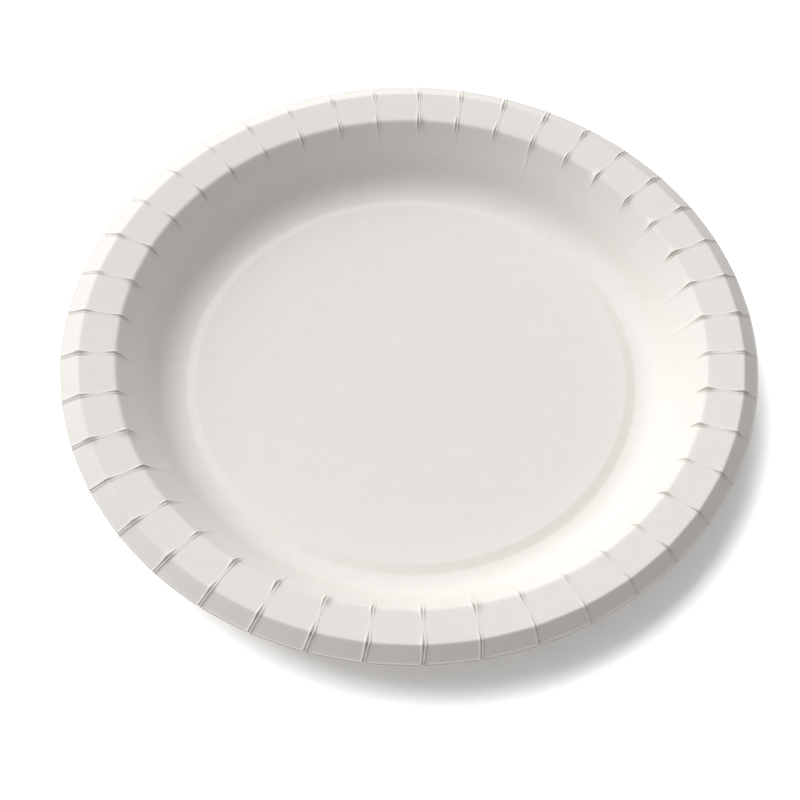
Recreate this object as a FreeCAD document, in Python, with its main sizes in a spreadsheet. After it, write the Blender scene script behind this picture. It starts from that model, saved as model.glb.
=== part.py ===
"""Pressed paper plate: one sheet of board with a raised centre panel, a flat foot ring,
a sloped wall, a near-level rim and a turned-down skirt. Wall, rim and skirt are pressed
as straight panels between forty-two pleats, so their plan is a many-sided ring."""

import FreeCAD
import Part
import Sketcher
import math
import os
from FreeCAD import Placement, Rotation, Vector

NODE = "plate"

# Driving dimensions in millimetres. A reach is a distance from the plate's axis, measured
# at a pleat, and a height is above the table. Both go to the sharp corner of a fold, which
# its bend then rounds off. The outer fold has no bend: it is pressed crisp. A lift is a
# distance above the sheet's upper side.
DIMENSIONS = {
    "sheet_thickness": 0.5,
    "panel_height": 1.4,
    "step_top_reach": 72.3,
    "step_foot_reach": 76.1,
    "disc_reach": 77.6,
    "ring_reach": 77.0,
    "wall_foot_reach": 84.0,
    "wall_foot_bend": 11.0,
    "inner_fold_reach": 97.7,
    "inner_fold_height": 19.7,
    "inner_fold_bend": 2.2,
    "outer_fold_reach": 109.9,
    "outer_fold_height": 21.2,
    "cut_edge_reach": 115.0,
    "cut_edge_height": 19.1,
    "pleat_count": 42,
    "pleat_width": 1.5,
    "pleat_lift": 0.28,
    "pleat_root": 0.3,
    "pleat_wall_run": 3.0,
    "pleat_ramp_run": 10.0,
    "pleat_edge_gap": 0.3,
    "crease_width": 0.4,
    "crease_lift": 0.06,
    "crease_clearance": 0.8,
    "crease_wall_run": 2.0,
    "crease_edge_gap": 0.1,
    "mitre_margin": 10.0,
}

START, END, CENTRE = 1, 2, 3
ORIGIN, VERTICAL_AXIS = -1, -2

CORNERS = ("ring", "wall_foot", "inner_fold", "outer_fold", "cut_edge")
HALF_PITCH = "180 / dims.pleat_count"


def make_sheet(doc):
    """The spreadsheet that holds the driving dimensions, one named cell each."""
    sheet = doc.addObject("Spreadsheet::Sheet", "dims")
    for row, (name, value) in enumerate(DIMENSIONS.items(), 1):
        sheet.set(f"A{row}", name)
        sheet.set(f"B{row}", str(value))
        sheet.setAlias(f"B{row}", name)
    doc.recompute()
    return sheet


def origin_feature(body, role):
    """One of the body's own origin planes or axes."""
    return next(f for f in body.Origin.OriginFeatures if f.Role == role)


def new_sketch(body, name, plane="XZ_Plane"):
    """A sketch on one of the body's origin planes."""
    sketch = body.newObject("Sketcher::SketchObject", name)
    sketch.AttachmentSupport = [(origin_feature(body, plane), "")]
    sketch.MapMode = "FlatFace"
    return sketch


def rule(sketch, *parts):
    """A sketch constraint, and its number."""
    return sketch.addConstraint(Sketcher.Constraint(*parts))


def bind(sketch, name, formula, *parts):
    """A sketch dimension that follows a formula of the sheet's cells."""
    index = rule(sketch, *parts)
    sketch.renameConstraint(index, name)
    sketch.setExpression(f"Constraints.{name}", formula)


def outline(sketch, points, closed=True):
    """Straight lines through the points, joined end to start."""
    ends = points[1:] + points[:1] if closed else points[1:]
    lines = [sketch.addGeometry(Part.LineSegment(a, b)) for a, b in zip(points, ends)]
    for line, after in zip(lines, lines[1:] + lines[:1] if closed else lines[1:]):
        rule(sketch, "Coincident", line, END, after, START)
    return lines


def tie(sketch, name, spot, point, across, up):
    """Ties a point of the sketch to formulas for how far across and how far up it is."""
    if across:
        bind(sketch, f"{name}_across", across, "DistanceX", ORIGIN, START, *spot, point.x)
    else:
        rule(sketch, "PointOnObject", *spot, VERTICAL_AXIS)
    bind(sketch, f"{name}_up", up, "DistanceY", ORIGIN, START, *spot, point.y)


def disc_sketch(body, sheet):
    """Half of the turned middle's section: centre panel, step and flat foot."""
    sketch = new_sketch(body, "disc_section")
    thick, high = "dims.sheet_thickness", "dims.panel_height"
    low = f"{high} - {thick}"
    thin, tall = sheet.sheet_thickness, sheet.panel_height
    top, foot, rim = sheet.step_top_reach, sheet.step_foot_reach, sheet.disc_reach
    corners = [
        ("middle_top", Vector(0, tall), "", high),
        ("step_top", Vector(top, tall), "dims.step_top_reach", high),
        ("step_foot", Vector(foot, thin), "dims.step_foot_reach", thick),
        ("disc_top", Vector(rim, thin), "dims.disc_reach", thick),
        ("disc_under", Vector(rim, 0), "dims.disc_reach", "0"),
        ("foot_under", Vector(foot, 0), "dims.step_foot_reach", "0"),
        ("step_under", Vector(top, tall - thin), "dims.step_top_reach", low),
        ("middle_under", Vector(0, tall - thin), "", low),
    ]
    lines = outline(sketch, [point for _, point, _, _ in corners])
    for line, (name, point, across, up) in zip(lines, corners):
        tie(sketch, name, (line, START), point, across, up)
    return sketch


def upper_line(sketch, sheet, names, shrink=1.0, formula=""):
    """The sharp-cornered line of the upper side as construction lines tied to the cells,
    with its corners."""
    points = []
    for name in names:
        low = name in ("ring", "wall_foot")
        up = "sheet_thickness" if low else f"{name}_height"
        reach = getattr(sheet, f"{name}_reach") * shrink
        points.append((name, Vector(reach, getattr(sheet, up)), f"dims.{name}_reach{formula}", f"dims.{up}"))
    corners = [point for _, point, _, _ in points]
    lines = outline(sketch, corners, closed=False)
    for line in lines:
        sketch.setConstruction(line, True)
    spots = [(line, START) for line in lines] + [(lines[-1], END)]
    for spot, (name, point, across, up) in zip(spots, points):
        tie(sketch, name, spot, point, across, up)
    return names, lines, corners


def bend_at(before, corner, after, radius, lift):
    """The bend at a corner, for the side of the sheet at that lift: its first and last
    points, its centre, its radius there and whether it turns upwards."""
    into = (corner - before).normalize()
    out = (after - corner).normalize()
    turn = math.atan2(into.x * out.y - into.y * out.x, into.dot(out))
    side = math.copysign(1, turn)
    tangent = radius * math.tan(abs(turn) / 2)
    centre = corner - into * tangent + Vector(-into.y, into.x) * side * radius
    own_radius = radius - side * lift
    first = centre + Vector(into.y, -into.x) * side * own_radius
    last = centre + Vector(out.y, -out.x) * side * own_radius
    return first, last, centre, own_radius, turn > 0


def crisp_at(before, corner, after, lift):
    """Where the side of the sheet at that lift turns at a crisp fold."""
    into = (corner - before).normalize()
    out = (after - corner).normalize()
    across = Vector(-into.y - out.y, into.x + out.x)
    return corner + across * (2 * lift / across.dot(across))


def side_line(sketch, sheet, label, reference, lift, lift_formula):
    """One side of a band: lines parallel to the reference at a lift. They meet at a crisp
    fold, and elsewhere are joined by arcs about the bends' own centres. Its two ends are
    left for the caller to fix."""
    names, base_lines, corners = reference
    offset = Vector(corners[0].y - corners[1].y, corners[1].x - corners[0].x).normalize() * lift
    at = corners[0] + offset
    lines, arcs = [], []
    for k, name in enumerate(names[1:-1]):
        around = corners[k : k + 3]
        if f"{name}_bend" not in DIMENSIONS:
            fold = crisp_at(*around, lift)
            lines.append(sketch.addGeometry(Part.LineSegment(at, fold)))
            arcs.append(None)
            at = fold
            continue
        radius = getattr(sheet, f"{name}_bend")
        first, last, centre, own_radius, upwards = bend_at(*around, radius, lift)
        lines.append(sketch.addGeometry(Part.LineSegment(at, first)))
        ends = (first, last) if upwards else (last, first)
        angles = [math.atan2(p.y - centre.y, p.x - centre.x) for p in ends]
        circle = Part.Circle(centre, Vector(0, 0, 1), own_radius)
        arcs.append((name, sketch.addGeometry(Part.ArcOfCircle(circle, *angles)), own_radius, upwards))
        at = last
    offset = Vector(corners[-2].y - corners[-1].y, corners[-1].x - corners[-2].x).normalize() * lift
    lines.append(sketch.addGeometry(Part.LineSegment(at, corners[-1] + offset)))

    for k, bend in enumerate(arcs):
        if bend is None:
            rule(sketch, "Coincident", lines[k], END, lines[k + 1], START)
            continue
        name, arc, own_radius, upwards = bend
        near, far = (START, END) if upwards else (END, START)
        rule(sketch, "Tangent", lines[k], END, arc, near)
        rule(sketch, "Tangent", arc, far, lines[k + 1], START)
        change = "-" if upwards else "+"
        formula = f"dims.{name}_bend {change} ({lift_formula})"
        bind(sketch, f"{label}_{name}_bend", formula, "Radius", arc, own_radius)
    for k, (line, base) in enumerate(zip(lines, base_lines)):
        rule(sketch, "Parallel", line, base)
        if lift:
            sign = "-" if lift < 0 else ""
            gap = f"{sign}({lift_formula})"
            bind(sketch, f"{label}_lift_{k}", gap, "Distance", line, END, base, abs(lift))
        else:
            rule(sketch, "PointOnObject", line, END, base)
    return lines


def close_band(sketch, top, low):
    """Joins the starts and the ends of a band's two sides."""
    closing = []
    for number, at in ((0, START), (-1, END)):
        points = [sketch.getPoint(side[number], at) for side in (top, low)]
        line = sketch.addGeometry(Part.LineSegment(*points))
        rule(sketch, "Coincident", line, START, top[number], at)
        rule(sketch, "Coincident", line, END, low[number], at)
        closing.append(line)
    return closing


def panel_sketch(body, sheet):
    """The section of one straight panel of foot ring, wall, rim and skirt, at its middle."""
    sketch = new_sketch(body, "panel_section")
    shrink = math.cos(math.pi / sheet.pleat_count)
    reference = upper_line(sketch, sheet, CORNERS, shrink, f" * cos({HALF_PITCH})")
    base = reference[1]
    top = side_line(sketch, sheet, "upper", reference, 0, "0")
    thick = sheet.sheet_thickness
    low = side_line(sketch, sheet, "under", reference, -thick, "-dims.sheet_thickness")
    inner, cut = close_band(sketch, top, low)
    rule(sketch, "Vertical", base[0], START, top[0], START)
    rule(sketch, "Perpendicular", inner, top[0])
    rule(sketch, "Horizontal", base[-1], END, top[-1], END)
    rule(sketch, "Perpendicular", cut, top[-1])
    return sketch


def mitre_sketch(body, sheet):
    """What the two mitre cuts take away beside one panel, seen from above."""
    sketch = new_sketch(body, "mitre_cuts", "XY_Plane")
    far = sheet.cut_edge_reach + sheet.mitre_margin
    spread = far * math.tan(math.pi / sheet.pleat_count)
    wide, back = 2 * sheet.mitre_margin, -sheet.mitre_margin
    reach = "dims.cut_edge_reach + dims.mitre_margin"
    side = f"({reach}) * tan({HALF_PITCH})"
    width = "2 * dims.mitre_margin"
    corners = [
        ("near_left", Vector(far, spread), reach, side),
        ("far_left", Vector(far, wide), reach, width),
        ("back_left", Vector(back, wide), "-dims.mitre_margin", width),
        ("back_right", Vector(back, -wide), "-dims.mitre_margin", f"-{width}"),
        ("far_right", Vector(far, -wide), reach, f"-{width}"),
        ("near_right", Vector(far, -spread), reach, f"-{side}"),
    ]
    lines = outline(sketch, [Vector(0, 0)] + [point for _, point, _, _ in corners])
    rule(sketch, "Coincident", lines[0], START, ORIGIN, START)
    for line, (name, point, across, up) in zip(lines[1:], corners):
        tie(sketch, name, (line, START), point, across, up)
    return sketch


def pleat_sketch(body, sheet, label, lifts, runs, gap_cell):
    """The side view of a pleat or of its crease, in the plane through the plate's axis. It
    follows wall, rim and skirt between two lifts, and starts that far down the wall."""
    sketch = new_sketch(body, f"{label}_side")
    turn = 180 / sheet.pleat_count
    sketch.AttachmentOffset = Placement(Vector(), Rotation(Vector(0, 1, 0), turn))
    sketch.setExpression("AttachmentOffset.Rotation.Angle", HALF_PITCH)
    reference = upper_line(sketch, sheet, CORNERS[1:])
    sides = []
    for name, (lift, lift_formula), (run, run_formula) in zip(("crest", "root"), lifts, runs):
        lines = side_line(sketch, sheet, name, reference, lift, lift_formula)
        bind(sketch, f"{name}_run", run_formula, "Distance", lines[0], run)
        sides.append(lines)
    _, tip = close_band(sketch, *sides)
    rule(sketch, "Perpendicular", tip, sides[0][-1])
    gap = getattr(sheet, gap_cell)
    bind(sketch, "edge_gap", f"dims.{gap_cell}", "Distance", reference[1][-1], END, tip, gap)
    return sketch


def make_ring(body, sheet, doc):
    """The ring of straight panels: one is padded, mitred and repeated round the axis."""
    panel = body.newObject("PartDesign::Pad", "panel")
    panel.Profile = panel_sketch(body, sheet)
    panel.SideType = "Symmetric"
    panel.setExpression("Length", f"2 * (dims.cut_edge_reach + 1) * tan({HALF_PITCH})")
    doc.recompute()
    mitres = body.newObject("PartDesign::Pocket", "mitres")
    mitres.Profile = mitre_sketch(body, sheet)
    mitres.SideType = "Symmetric"
    mitres.Type = "ThroughAll"
    doc.recompute()
    ring = body.newObject("PartDesign::PolarPattern", "panel_ring")
    ring.TransformMode = "Whole shape"
    ring.Axis = (origin_feature(body, "Z_Axis"), [""])
    ring.setExpression("Occurrences", "dims.pleat_count")
    body.Tip = ring
    doc.recompute()


def make_disc(body, sheet, doc):
    """The turned middle that closes the ring."""
    disc = body.newObject("PartDesign::Revolution", "disc")
    disc.Profile = disc_sketch(body, sheet)
    disc.ReferenceAxis = (origin_feature(body, "Z_Axis"), [""])
    disc.Angle = 360
    doc.recompute()


def make_pleats(body, sheet, doc):
    """The pleats: a low ridge at each mitre, with a crease that parts it in two."""
    run, ramp = sheet.pleat_wall_run, sheet.pleat_ramp_run
    lifts = [(sheet.pleat_lift, "dims.pleat_lift"), (-sheet.pleat_root, "-dims.pleat_root")]
    runs = [(run, "dims.pleat_wall_run"), (run + ramp, "dims.pleat_wall_run + dims.pleat_ramp_run")]
    ridge = body.newObject("PartDesign::Pad", "ridge")
    ridge.Profile = pleat_sketch(body, sheet, "ridge", lifts, runs, "pleat_edge_gap")
    ridge.SideType = "Symmetric"
    ridge.setExpression("Length", "dims.pleat_width")
    doc.recompute()

    run = sheet.crease_wall_run
    lifts = [
        (sheet.crease_clearance, "dims.crease_clearance"),
        (sheet.crease_lift, "dims.crease_lift"),
    ]
    runs = [(run, "dims.crease_wall_run"), (run, "dims.crease_wall_run")]
    crease = body.newObject("PartDesign::Pocket", "crease")
    crease.Profile = pleat_sketch(body, sheet, "crease", lifts, runs, "crease_edge_gap")
    crease.SideType = "Symmetric"
    crease.setExpression("Length", "dims.crease_width")
    doc.recompute()

    pleats = body.newObject("PartDesign::PolarPattern", "pleat_ring")
    pleats.Originals = [ridge, crease]
    pleats.Axis = (origin_feature(body, "Z_Axis"), [""])
    pleats.setExpression("Occurrences", "dims.pleat_count")
    body.Tip = pleats
    doc.recompute()


def check(doc, body):
    """Stops with a message if any object failed or the plate isn't one sound solid."""
    for item in doc.Objects:
        if {"Invalid", "Error"} & set(item.State):
            raise RuntimeError(f"{item.Name} failed: {item.State}")
    shape = body.Shape
    if shape.isNull() or not shape.isValid() or len(shape.Solids) != 1:
        raise RuntimeError(f"{body.Label} is not one valid solid")
    return shape


def main():
    doc = FreeCAD.newDocument("paper_plate")
    sheet = make_sheet(doc)
    body = doc.addObject("PartDesign::Body", NODE)
    body.Label = NODE
    make_ring(body, sheet, doc)
    make_disc(body, sheet, doc)
    make_pleats(body, sheet, doc)
    shape = check(doc, body)
    os.makedirs("parts", exist_ok=True)
    shape.exportStep(f"parts/{NODE}.step")
    box = shape.BoundBox
    print(f"{NODE}: {box.XLength:.1f} x {box.YLength:.1f} x {box.ZLength:.1f} mm,")
    print(f"  {shape.Volume / 1000:.1f} cm3, {len(shape.Faces)} faces")


main()
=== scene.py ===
# %% [markdown]
# # A pressed paper plate
#
# This file rebuilds one disposable plate. It is a single sheet of white board that a heated
# die has pressed into a dish, so there is one piece to model. What makes it read as paper is
# the ring of pleats: the flat round blank has too much edge for the dish, and the die folds
# the spare board into forty-two narrow creases across the rim.
#
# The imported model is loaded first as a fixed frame. It gives the real size, and the detailed
# plate made here has to stay inside it.

import bpy
import bmesh
import functools
import math
import random
from mathutils import Matrix, Vector


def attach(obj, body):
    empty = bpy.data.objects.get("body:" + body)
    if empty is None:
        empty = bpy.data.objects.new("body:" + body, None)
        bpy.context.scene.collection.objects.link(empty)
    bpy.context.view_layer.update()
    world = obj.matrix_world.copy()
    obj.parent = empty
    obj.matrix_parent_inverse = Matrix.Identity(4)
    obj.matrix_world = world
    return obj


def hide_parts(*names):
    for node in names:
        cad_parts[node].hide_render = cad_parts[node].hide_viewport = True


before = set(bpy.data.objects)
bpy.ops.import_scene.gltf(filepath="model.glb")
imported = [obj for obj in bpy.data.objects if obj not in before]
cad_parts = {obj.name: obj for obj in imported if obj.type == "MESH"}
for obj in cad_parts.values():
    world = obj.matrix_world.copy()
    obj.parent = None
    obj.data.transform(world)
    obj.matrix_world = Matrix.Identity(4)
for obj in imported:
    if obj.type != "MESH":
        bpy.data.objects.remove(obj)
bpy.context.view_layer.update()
MM = 0.001

# %% [markdown]
# ## The section
#
# A plate like this is best drawn as half of its section and then turned about its axis, as a
# potter would. The section's upper side is a line with seven corners: two for the small step
# round the raised middle, then the foot of the wall, a slight bow half-way up it, the two folds
# of the level rim, and the last half millimetre of the skirt, which the cutter has turned level.
# Each corner is rounded to the radius that board takes when it is pressed, so it is worked out
# as an arc.

# %% The section's corners and bends
BOARD = 0.5  # the sheet's thickness; every length is in millimetres until it is built
PLEATS = 42
PITCH = 2 * math.pi / PLEATS
FIRST_PLEAT = PITCH / 2

# Each corner is given as its distance from the axis and its height above the table.
CORNERS = {
    "middle": (0.0, 1.4),
    "step_top": (72.8, 1.4),
    "step_foot": (75.9, 0.5),
    "wall_foot": (82.0, 0.5),
    "wall_middle": (89.0, 10.3),
    "inner_fold": (97.5, 19.7),
    "outer_fold": (109.6, 20.7),
    "edge_turn": (114.9, 16.95),
    "cut_edge": (115.4, 16.9),
}
BENDS = {
    "step_top": 3.0,
    "step_foot": 3.0,
    "wall_foot": 11.0,
    "wall_middle": 35.0,
    "inner_fold": 2.0,
    "outer_fold": 1.4,
    "edge_turn": 0.4,
}
print("points on the line:", len(CORNERS), "of which rounded:", len(BENDS))

# %% [markdown]
# A bend starts and ends where its circle touches the two straight stretches. The circle's
# centre lies square to the first stretch, on the inner side of the turn, and the points of the
# arc are one spoke of it, rotated in even steps.

# %% Helpers for bends and straight stretches


def bend_points(before, corner, after, radius, count):
    """The points of the arc that rounds off a corner."""
    into = (corner - before).normalized()
    out = (after - corner).normalized()
    turn = into.angle_signed(out)
    tangent = radius * math.tan(abs(turn) / 2)
    side = Vector((into.y, -into.x)) * math.copysign(radius, turn)
    start = corner - into * tangent
    centre = start + side
    spoke = start - centre
    points = []
    for k in range(count + 1):
        points.append(centre + Matrix.Rotation(-turn * k / count, 2) @ spoke)
    return points


def between(start, end, longest):
    """Points that divide a straight stretch into steps no longer than that."""
    steps = max(1, math.ceil((end - start).length / longest))
    return [start.lerp(end, k / steps) for k in range(1, steps)]


square_bend = bend_points(Vector((0, 0)), Vector((9, 0)), Vector((9, 9)), 2.0, 4)
print("a square bend:", [tuple(round(v, 1) for v in point) for point in square_bend])

# %% [markdown]
# Straight stretches need points too, because the pleats have to be pushed up out of them
# later. The middle stays coarse, and the rim is divided finely.

# %% The upper side as a list of points
ARC_STEPS = {
    "step_top": 2,
    "step_foot": 2,
    "wall_foot": 6,
    "wall_middle": 2,
    "inner_fold": 7,
    "outer_fold": 6,
    "edge_turn": 2,
}
STEP_BEFORE = {
    "step_top": 40.0,
    "step_foot": 3.0,
    "wall_foot": 3.0,
    "wall_middle": 1.8,
    "inner_fold": 1.8,
    "outer_fold": 1.1,
    "edge_turn": 0.9,
    "cut_edge": 0.5,
}


def upper_side():
    """The rounded upper side from the middle to the cut edge, in mm."""
    names = list(CORNERS)
    spots = [Vector(CORNERS[name]) for name in names]
    line = [spots[0]]
    for k in range(1, len(names)):
        name = names[k]
        last = k == len(names) - 1
        arc = [spots[k]] if last else bend_points(
            spots[k - 1], spots[k], spots[k + 1], BENDS[name], ARC_STEPS[name]
        )
        line += between(line[-1], arc[0], STEP_BEFORE[name]) + arc
    return line


upper = upper_side()
runs = [0.0]
for a, b in zip(upper, upper[1:]):
    runs.append(runs[-1] + (b - a).length)
print("upper side:", len(upper), "points,", round(runs[-1], 1), "mm along the board")

# %% [markdown]
# The pleats are placed by how far along the board a point is, measured from the middle, since
# that stays the same however the board is bent. These are the distances they need.

# %% Where the folds lie along the board


def run_at(name, after=False):
    """How far along the board a corner's bend starts or, with after, where it ends."""
    spot = Vector(CORNERS[name])
    near = min(range(len(upper)), key=lambda k: (upper[k] - spot).length)
    half = ARC_STEPS[name] // 2
    return runs[near + half if after else near - half]


WALL_TOP = run_at("inner_fold")
RIM_START = run_at("inner_fold", after=True)
RIM_END = run_at("outer_fold")
SKIRT_TOP = run_at("outer_fold", after=True)
EDGE = runs[-1]
print("rim from", round(RIM_START, 1), "to", round(RIM_END, 1), "mm, edge at", round(EDGE, 1))

# %% [markdown]
# The underside is the same line, one board thickness lower. Each point is moved square to the
# board, so the sheet has an even thickness round every bend, and the two ends are joined by a
# narrow cut edge.

# %% The closed half section


def square_to(line, k):
    """The unit direction that points down through the board at one of its points."""
    ahead = line[min(k + 1, len(line) - 1)]
    behind = line[max(k - 1, 0)]
    along = (ahead - behind).normalized()
    return Vector((along.y, -along.x))


under = [point + square_to(upper, k) * BOARD for k, point in enumerate(upper)]
print("closed half section:", len(upper) + len(under), "points")

# %% [markdown]
# ## Turning the section
#
# `bmesh.ops.spin` turns the line into a surface. Each of the forty-two pitches gets the same
# number of columns. Two vertex layers travel with the spin: how far along the board a point
# is, and whether it is on the upper side (1) or underneath (0). The spin leaves doubles at the
# axis, so they are merged, and then all faces are turned to point outwards.

# %% Spin the section
COLUMNS = 20  # for each pleat
MERGE_WITHIN = 0.001


def turned_sheet():
    """The plate before its pleats: the closed half section turned about the axis."""
    bm = bmesh.new()
    run_layer = bm.verts.layers.float.new("run")
    top_layer = bm.verts.layers.float.new("top")
    loop = [(p, runs[k], 1.0) for k, p in enumerate(upper)]
    loop += [(under[k], runs[k], 0.0) for k in reversed(range(len(under)))]
    verts = []
    for point, run, top in loop:
        vert = bm.verts.new((point.x * MM, 0.0, point.y * MM))
        vert[run_layer] = run
        vert[top_layer] = top
        verts.append(vert)
    edges = [bm.edges.new(pair) for pair in zip(verts, verts[1:])]
    bmesh.ops.spin(
        bm,
        geom=verts + edges,
        cent=(0, 0, 0),
        axis=(0, 0, 1),
        angle=2 * math.pi,
        steps=PLEATS * COLUMNS,
        use_merge=True,
    )
    bmesh.ops.remove_doubles(bm, verts=bm.verts, dist=MERGE_WITHIN * MM)
    bmesh.ops.recalc_face_normals(bm, faces=bm.faces)
    return bm, run_layer, top_layer


sheet, run_layer, top_layer = turned_sheet()
print("turned sheet:", len(sheet.verts), "points,", len(sheet.faces), "faces")

# %% [markdown]
# ## The pleats
#
# Under a lens each pleat is two small ridges with a dark crease between them. They stand
# apart over the two folds, where the spare board is thickest, and run almost together across
# the flat of the rim. On the wall they fade out in a thin line, and the cut edge has a nick
# where the folded board ends. No two are the same, so each gets its own set of random
# amounts, from a seed that keeps them the same in every run.

# %% One set of amounts for each pleat
dice = random.Random(42)


def new_pleat():
    """The amounts by which one pleat differs from the others."""
    return {
        "shift": dice.uniform(-0.25, 0.25),
        "lean": dice.uniform(-0.5, 0.5),
        "inner": dice.uniform(0.75, 1.2),
        "rim": dice.uniform(0.3, 1.0),
        "outer": dice.uniform(0.7, 1.2),
        "bias": dice.uniform(-0.35, 0.35),
        "tail": dice.choice([4.0, 6.0, 8.0, 12.0, 18.0]),
        "nick": dice.uniform(0.2, 0.5),
    }


pleats = [new_pleat() for _ in range(PLEATS)]
print("longest tail down the wall:", max(p["tail"] for p in pleats), "mm")

# %% [markdown]
# A column that lies far from a pleat has little to show, and the pleat itself is barely a
# millimetre wide. So the columns are first drawn together towards the pleats.

# %% Gather the columns towards the pleats
FINE_SHARE = 0.7  # this share of the columns stands on the pleat
FINE_MM = 1.35  # to either side of its middle line
FINE_AT = 110.0  # at this reach
FINE_ANGLE = FINE_MM / FINE_AT


def gathered(part):
    """Moves a place within a pitch, from -1 to 1 with the pleat at 0, towards the pleat."""
    size = abs(part)
    if size < FINE_SHARE:
        angle = size / FINE_SHARE * FINE_ANGLE
    else:
        rest = (size - FINE_SHARE) / (1 - FINE_SHARE)
        angle = FINE_ANGLE + rest * (PITCH / 2 - FINE_ANGLE)
    return math.copysign(angle, part)


print("columns at a pleat:", round(FINE_SHARE * COLUMNS), "of", COLUMNS)

# %% [markdown]
# Two small curves are enough to draw a pleat: a smooth change from one level to the next, and
# a round ridge.

# %% A smooth change and a round ridge


def step(low, high, value):
    """A smooth change from 0 to 1 between two values."""
    t = min(1.0, max(0.0, (value - low) / (high - low)))
    return t * t * (3 - 2 * t)


def bump(distance, width):
    """A round ridge, 1 at its middle."""
    return math.exp(-((distance / width) ** 2))


print("half-way up a step:", step(0, 1, 0.5), "one width from a ridge:", round(bump(1, 1), 2))

# %% [markdown]
# How tall a pleat is depends on where along the board one looks. It is tallest on the two
# folds, low on the rim between them, and on the wall it runs out over its own tail. On one
# side of this plate the skirt is pressed flatter and its pleats are faint.

# %% A pleat along the board
INNER_LENGTH = 3.0
OUTER_LENGTH = 2.8
RIM_SHARE = 0.42
WALL_SHARE = 0.45
SKIRT_SHARE = 0.75
SKIRT_FAINTER = 0.5
SKIRT_APART = 0.8
SKIRT_BLEND = 1.0
RIM_PINCH = 0.3
SKIRT_PINCH = 0.25
FAINT_AT = math.radians(-30.0)


@functools.cache
def pleat_shape(run, number):
    """How tall, how open and how tightly pinched a pleat is at that place along the board; the
    pinch sets how much painted shade its slit gets.
    """
    pleat = pleats[number]
    faint_side = max(0.0, math.cos(number * PITCH - FAINT_AT)) ** 2
    inner = bump(run - (WALL_TOP + RIM_START) / 2, INNER_LENGTH) * pleat["inner"]
    outer = bump(run - (RIM_END + SKIRT_TOP) / 2, OUTER_LENGTH) * pleat["outer"]
    past_wall = step(WALL_TOP, RIM_START, run)
    rim = past_wall * (1 - step(RIM_END, SKIRT_TOP, run)) * RIM_SHARE * pleat["rim"]
    on_skirt = step(SKIRT_TOP - SKIRT_BLEND, SKIRT_TOP + SKIRT_BLEND, run)
    skirt = on_skirt * (SKIRT_SHARE - SKIRT_FAINTER * faint_side)
    wall = step(WALL_TOP - pleat["tail"], WALL_TOP, run) * (1 - past_wall) * WALL_SHARE
    rise = max(inner, outer, rim, skirt, wall)
    apart = max(inner, outer, SKIRT_APART * skirt)
    pinch = max(inner, outer, RIM_PINCH * rim, SKIRT_PINCH * skirt)
    return rise, min(1.0, apart), min(1.0, pinch)


print("tallest on a fold:", round(max(p["inner"] for p in pleats), 2), "times a plain ridge")

# %% [markdown]
# Across the pleat it is two ridges and a crease, and the first function below gives their
# height in millimetres. The real crease is a slit between two layers of board, far too narrow
# to model, and hardly any light comes out of it. The second function says where it is, so that
# the material can paint that shade in as a darker colour.

# %% A pleat from side to side
RIDGE_RISE = 0.46
RIDGE_WIDTH = 0.24
RIDGES_APART = 0.60
CLOSED_SHARE = 0.35
CREASE_DEPTH = 0.34
CREASE_WIDTH = 0.8 * RIDGE_WIDTH
SLIT_WIDTH = 0.26


def pleat_height(across, run, number):
    """How far the pleat lifts the board at a point, in mm."""
    rise, apart, _ = pleat_shape(run, number)
    pleat = pleats[number]
    half = RIDGES_APART * (CLOSED_SHARE + (1 - CLOSED_SHARE) * apart)
    left = bump(across + half, RIDGE_WIDTH) * (1 + pleat["bias"])
    right = bump(across - half, RIDGE_WIDTH) * (1 - pleat["bias"])
    crease = bump(across, CREASE_WIDTH)
    return rise * (RIDGE_RISE * (left + right) - CREASE_DEPTH * crease)


def painted_slit_shade(across, run, number):
    """How much painted shade a point in the slit of the folded board gets, from 0 to 1."""
    return pleat_shape(run, number)[2] * bump(across, SLIT_WIDTH)


print("a pleat is about", round(2 * (RIDGES_APART + RIDGE_WIDTH), 1), "mm wide on a fold")

# %% [markdown]
# Between two pleats the pressed board is nearly straight, so the rim has faint corners. The
# helper below gives how much nearer to the axis a point of a straight panel lies than a point
# of the round plate.

# %% Straight panels
STRAIGHTNESS = 0.4  # 0 is round and 1 is quite straight
STRAIGHTENED_OVER = 14.0


def panel_factor(angle, run):
    """The share of its reach that a point keeps when its panel is straightened."""
    amount = STRAIGHTNESS * step(WALL_TOP - STRAIGHTENED_OVER, WALL_TOP, run)
    chord = math.cos(PITCH / 2) / math.cos(PITCH / 2 - abs(angle))
    return 1 - amount * (1 - chord)


pulled_in = CORNERS["cut_edge"][0] * (1 - panel_factor(PITCH / 2, EDGE))
print("a panel's middle lies", round(pulled_in, 2), "mm inside the round")

# %% [markdown]
# Two small faults make it a real plate and not a drawing of one. The pleats are a little closer
# together on one side than on the other. The blank lay about a millimetre off centre in the
# die, so the skirt is wider on one side.

# %% The two faults
UNEVEN = math.radians(2.5)
UNEVEN_AT = math.radians(-42.0)
OFF_CENTRE = Vector((-0.8, 0.95, 0.0))


def uneven(angle):
    """The angle at which the die really put what an even plate has at that angle."""
    return angle + UNEVEN * math.cos(angle - UNEVEN_AT)


def off_centre(run):
    """How far a point of the skirt is moved sideways, all of it at the cut edge."""
    return OFF_CENTRE * min(1.0, max(0.0, (run - RIM_END) / (EDGE - RIM_END)))


print("cut edge off centre by", round(off_centre(EDGE).length, 1), "mm")

# %% [markdown]
# Now every point of the turned sheet is moved. A point is first placed round the axis, and then
# pushed out of the board by the height of its pleat. All the places are worked out before any
# point moves, so that each is pushed along the surface as it was. Underneath, a pleat shows as
# a shallower hollow.

# %% Shape the sheet
PLEATED_FROM = WALL_TOP - 25.0
PLEAT_REACH = 2.0
UNDERNEATH = -0.45
NICK_WIDTH = 0.5
NICK_LENGTH = 1.0
AXIS_CLEAR = 1.0


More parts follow.
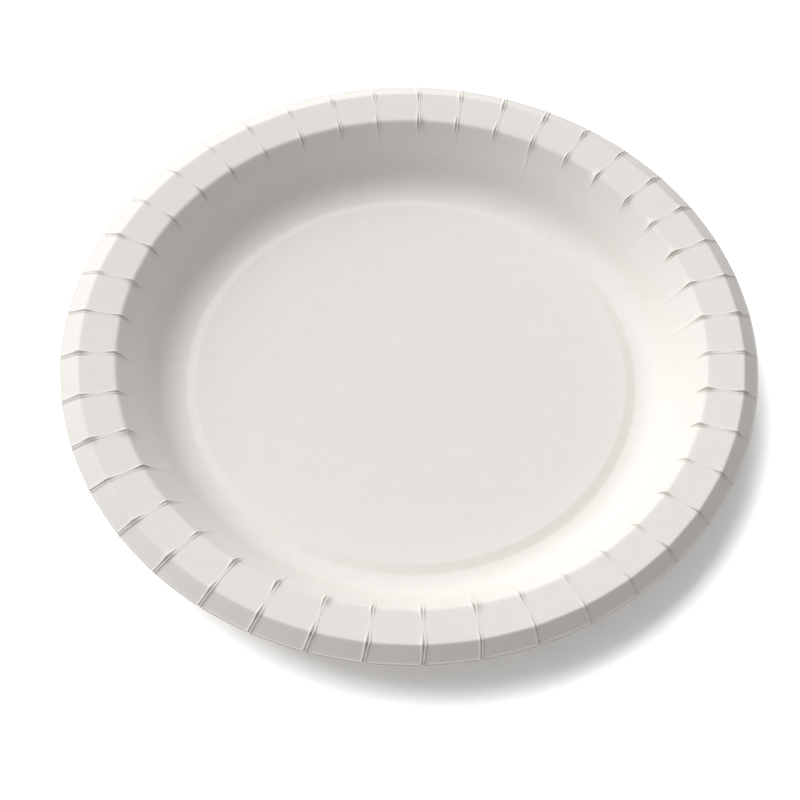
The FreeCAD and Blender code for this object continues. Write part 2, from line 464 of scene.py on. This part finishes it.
def shape_sheet(bm):
    """Straightens the panels, pushes up the pleats between them and marks their slits for painted
    shade.
    """
    bm.normal_update()
    painted_shade_layer = bm.verts.layers.float.new("fold")
    moved = []
    for vert in bm.verts:
        reach = math.hypot(vert.co.x, vert.co.y) / MM
        run, top = vert[run_layer], vert[top_layer]
        if reach < AXIS_CLEAR:
            continue
        azimuth = math.atan2(vert.co.y, vert.co.x) - FIRST_PLEAT
        number = round(azimuth / PITCH)
        part = (azimuth - number * PITCH) / (PITCH / 2)
        angle = gathered(part)
        pleat = pleats[number % PLEATS]
        along = (run - WALL_TOP) / (EDGE - WALL_TOP)
        across = angle * reach - pleat["shift"] - pleat["lean"] * (along - 0.5)
        near = run > PLEATED_FROM and abs(across) < PLEAT_REACH
        lift = pleat_height(across, run, number % PLEATS) if near else 0.0
        lift *= 1.0 if top else UNDERNEATH
        # painted shade: how much the material darkens this point of a slit, on the upper side only
        slit_shade_amount = painted_slit_shade(across, run, number % PLEATS) if near and top else 0.0
        nick = pleat["nick"] * bump(across, NICK_WIDTH) * step(EDGE - NICK_LENGTH, EDGE, run)
        reach = reach * panel_factor(angle, run) - nick
        turned = uneven(number * PITCH + angle + FIRST_PLEAT)
        spot = Vector((math.cos(turned) * reach, math.sin(turned) * reach, vert.co.z / MM))
        spot += off_centre(run)
        swing = turned - azimuth - FIRST_PLEAT
        moved.append((vert, spot, Matrix.Rotation(swing, 3, "Z") @ vert.normal * lift, slit_shade_amount))
    for vert, spot, push, slit_shade_amount in moved:
        vert.co = (spot + push) * MM
        vert[painted_shade_layer] = slit_shade_amount


shape_sheet(sheet)
print("shaped sheet:", sum(len(face.verts) - 2 for face in sheet.faces), "triangles")

# %% [markdown]
# The finished mesh becomes an object at the origin. It stands for the frame's own `plate`,
# which is then hidden, and it takes that node's place on the one body.

# %% The plate object


def new_object(name, bm):
    """A smooth-shaded object at the origin, made from a bmesh."""
    mesh = bpy.data.meshes.new(name)
    bm.to_mesh(mesh)
    bm.free()
    mesh.shade_smooth()
    made = bpy.data.objects.new(name, mesh)
    bpy.context.scene.collection.objects.link(made)
    return made


plate = new_object("pressed_plate", sheet)
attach(plate, "root")
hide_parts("plate")
print("plate size in mm:", [round(side / MM, 1) for side in plate.dimensions])

# %% [markdown]
# ## Materials
#
# Two helpers serve every material: one turns a hex colour into the linear values that the
# shader works in, and one adds a node with its settings and links.

# %% Material helpers
FACTOR, COLOUR_A, COLOUR_B, MIXED = 0, 6, 7, 2


def linear(hex_colour):
    """An sRGB hex colour as linear red, green, blue and alpha."""
    channels = [int(hex_colour[k : k + 2], 16) / 255 for k in (1, 3, 5)]
    values = [c / 12.92 if c <= 0.04045 else ((c + 0.055) / 1.055) ** 2.4 for c in channels]
    return (*values, 1.0)


def add_node(tree, kind, settings=None, links=None):
    """A new node with its settings, and with its inputs set or linked."""
    node = tree.nodes.new(kind)
    for name, value in (settings or {}).items():
        setattr(node, name, value)
    for name, value in (links or {}).items():
        socket = node.inputs[name]
        if isinstance(value, bpy.types.NodeSocket):
            tree.links.new(value, socket)
        else:
            socket.default_value = value
    return node


def new_material(name):
    """An empty node material and its tree."""
    material = bpy.data.materials.new(name)
    material.use_nodes = True
    material.node_tree.nodes.clear()
    return material, material.node_tree


print("hex 808080 in linear light:", round(linear("#808080")[0], 3))

# %% [markdown]
# Paperboard is bleached wood fibre. It scatters nearly all the light that falls on it, so it
# is a bright, slightly warm white with a wide, weak sheen. Close up it isn't even: the fibres
# clump into cloudy patches a few millimetres across, which one noise tints, and they leave a
# fine tooth, which a second noise makes as a bump. A real fibre is some 0.03 mm wide and
# wouldn't show, so the tooth is drawn coarser. The slits of the pleats get painted shade: the
# sheet's own `fold` layer darkens them to a warm grey, since hardly any light comes out of them.

# %% White paperboard
BOARD_SHADE = "#F1ECE7"
BOARD_LIGHT = "#F6F2ED"
# painted shade for the slits of the pleats, where hardly any light comes out
PAINTED_SLIT_SHADE = "#BEB8AD"
FIBRE_CLOUD_MM = 5.0
FIBRE_MM = 0.9
TOOTH_MM = 0.05


def paperboard():
    """White bleached board, pressed: matt, faintly clouded, with a fine tooth and painted slit
    shade.
    """
    material, tree = new_material("white paperboard")
    place = add_node(tree, "ShaderNodeTexCoord").outputs["Object"]
    cloud = add_node(
        tree,
        "ShaderNodeTexNoise",
        links={
            "Vector": place,
            "Scale": 1 / (FIBRE_CLOUD_MM * MM),
            "Detail": 3.0,
            "Roughness": 0.6,
        },
    )
    fibre = add_node(
        tree,
        "ShaderNodeTexNoise",
        links={"Vector": place, "Scale": 1 / (FIBRE_MM * MM), "Detail": 4.0, "Roughness": 0.7},
    )
    tint = add_node(
        tree,
        "ShaderNodeMix",
        {"data_type": "RGBA"},
        {
            FACTOR: cloud.outputs["Fac"],
            COLOUR_A: linear(BOARD_SHADE),
            COLOUR_B: linear(BOARD_LIGHT),
        },
    )
    # painted shade: the sheet's fold layer darkens the slits of the pleats to a warm grey
    fold = add_node(tree, "ShaderNodeAttribute", {"attribute_name": "fold"})
    board = add_node(
        tree,
        "ShaderNodeMix",
        {"data_type": "RGBA"},
        {FACTOR: fold.outputs["Fac"], COLOUR_A: tint.outputs[MIXED], COLOUR_B: linear(PAINTED_SLIT_SHADE)},
    )
    tooth = add_node(
        tree,
        "ShaderNodeBump",
        links={"Height": fibre.outputs["Fac"], "Strength": 0.12, "Distance": TOOTH_MM * MM},
    )
    skin = add_node(
        tree,
        "ShaderNodeBsdfPrincipled",
        links={
            "Base Color": board.outputs[MIXED],
            "Roughness": 0.62,
            "IOR": 1.45,
            "Specular IOR Level": 0.35,
            "Normal": tooth.outputs["Normal"],
        },
    )
    add_node(tree, "ShaderNodeOutputMaterial", links={"Surface": skin.outputs["BSDF"]})
    return material


plate.data.materials.append(paperboard())
print("material:", plate.data.materials[0].name)

# %% [markdown]
# ## The studio
#
# The plate stands on a white sweep. To the light that bounces off it the floor is a pale grey,
# and to the camera it is four times as bright, so the background is clean white, the shadow
# keeps its shape, and the light on the plate stays at a plain level.

# %% Floor
FLOOR_HALF = 3.0  # in metres
FLOOR_TO_LAMPS = 0.62
FLOOR_TO_CAMERA = 2.5


def grey(value):
    """A neutral colour, given as a linear value."""
    return (value, value, value, 1.0)


def white_floor():
    """The floor's finish: plain white, brighter where the camera sees it directly."""
    material, tree = new_material("white sweep")
    rays = add_node(tree, "ShaderNodeLightPath")
    seen = add_node(
        tree,
        "ShaderNodeMath",
        {"operation": "MAXIMUM"},
        {0: rays.outputs["Is Camera Ray"], 1: rays.outputs["Is Glossy Ray"]},
    )
    seen = add_node(
        tree,
        "ShaderNodeMath",
        {"operation": "MAXIMUM"},
        {0: seen.outputs["Value"], 1: rays.outputs["Is Transmission Ray"]},
    )
    shade = add_node(
        tree,
        "ShaderNodeMix",
        {"data_type": "RGBA"},
        {
            FACTOR: seen.outputs["Value"],
            COLOUR_A: grey(FLOOR_TO_LAMPS),
            COLOUR_B: grey(FLOOR_TO_CAMERA),
        },
    )
    matt = add_node(tree, "ShaderNodeBsdfDiffuse", links={"Color": shade.outputs[MIXED]})
    add_node(tree, "ShaderNodeOutputMaterial", links={"Surface": matt.outputs["BSDF"]})
    return material


def make_floor():
    """A large plane at the height that the plate stands on."""
    bm = bmesh.new()
    bmesh.ops.create_grid(bm, x_segments=1, y_segments=1, size=FLOOR_HALF)
    made = new_object("floor", bm)
    made.data.materials.append(white_floor())
    return made


floor = make_floor()
print("floor is", round(floor.dimensions.x, 1), "m wide")

# %% [markdown]
# One very large soft lamp stands behind the plate on the left, half-way up, and a weak even
# light comes from everywhere else. That is why the near and right-hand skirts are grey and the
# far and left-hand walls of the dish are in shade. The lamp's power is set so that the wall
# that faces it just stays below white.

# %% Lamp
CAMERA_TURN = -0.65
LAMP_AZIMUTH = 137.0
LAMP_HEIGHT = 45.0
LAMP_AWAY = 4.0
LAMP_SIZE = 5.0
LAMP_POWER = 210.0


def make_lamp(name):
    """A square area lamp, placed by its direction from the plate and aimed at it."""
    data = bpy.data.lights.new(name, "AREA")
    data.size, data.energy = LAMP_SIZE, LAMP_POWER
    lamp = bpy.data.objects.new(name, data)
    bpy.context.scene.collection.objects.link(lamp)
    flat, up = math.radians(LAMP_AZIMUTH + CAMERA_TURN), math.radians(LAMP_HEIGHT)
    away = Vector((math.cos(flat) * math.cos(up), math.sin(flat) * math.cos(up), math.sin(up)))
    lamp.location = away * LAMP_AWAY
    lamp.rotation_euler = (-lamp.location).to_track_quat("-Z", "Y").to_euler()
    return lamp


key = make_lamp("soft key")
print("lamp power:", key.data.energy, "W")

# %% [markdown]
# The even light is the world itself. It is dim for the plate, and plain white for the camera,
# so that the background joins the floor without a line.

# %% Sky
SKY_STRENGTH = 0.22
WHITE = (1, 1, 1, 1)


def make_sky():
    """Even light from all round, which the camera sees as white."""
    world = bpy.data.worlds.new("studio")
    bpy.context.scene.world = world
    world.use_nodes = True
    tree = world.node_tree
    tree.nodes.clear()
    rays = add_node(tree, "ShaderNodeLightPath")
    light = add_node(tree, "ShaderNodeBackground", links={"Color": WHITE, "Strength": SKY_STRENGTH})
    white = add_node(tree, "ShaderNodeBackground", links={"Color": WHITE, "Strength": 1.0})
    both = add_node(
        tree,
        "ShaderNodeMixShader",
        links={0: rays.outputs["Is Camera Ray"], 1: light.outputs[0], 2: white.outputs[0]},
    )
    add_node(tree, "ShaderNodeOutputWorld", links={"Surface": both.outputs[0]})


make_sky()
print("even light:", SKY_STRENGTH)

# %% [markdown]
# ## The camera
#
# The camera stands in front of the plate and looks down on it. Its place and tilt were worked
# out from the ellipses that the plate's circles make in the picture, and from where the
# pleats fall on them. It stands five times the plate's reach away, and its place is given from
# the middle of the rim, in plate reaches.

# %% Camera
PLATE_REACH = CORNERS["cut_edge"][0]
RIM_MIDDLE = Vector((0.0, 0.0, 19.1))
CAMERA_PITCH = 57.17
CAMERA_ROLL = 0.58
CAMERA_PLACE = Vector((-0.0316, -2.8469, 4.1136))
LENS_MM = 78.5
SENSOR_MM = 36.0
CLIP_START, CLIP_END = 0.01, 50.0


def make_camera():
    """The camera, turned about the plate's axis so that the pleats fall where they should."""
    data = bpy.data.cameras.new("camera")
    data.lens, data.sensor_width = LENS_MM, SENSOR_MM
    data.clip_start, data.clip_end = CLIP_START, CLIP_END
    camera = bpy.data.objects.new("camera", data)
    bpy.context.scene.collection.objects.link(camera)
    tilt = Matrix.Rotation(math.radians(90 - CAMERA_PITCH), 4, "X")
    roll = Matrix.Rotation(math.radians(CAMERA_ROLL), 4, "Z")
    turn = Matrix.Rotation(math.radians(CAMERA_TURN), 4, "Z")
    place = (CAMERA_PLACE * PLATE_REACH + RIM_MIDDLE) * MM
    camera.matrix_world = turn @ Matrix.Translation(place) @ tilt @ roll
    bpy.context.scene.camera = camera
    return camera


camera = make_camera()
print("camera at", [round(v, 3) for v in camera.matrix_world.translation])

# %% [markdown]
# ## Finish
#
# The colours are shown as they are, with no film look.

# %% Colour
bpy.context.scene.view_settings.view_transform = "Standard"
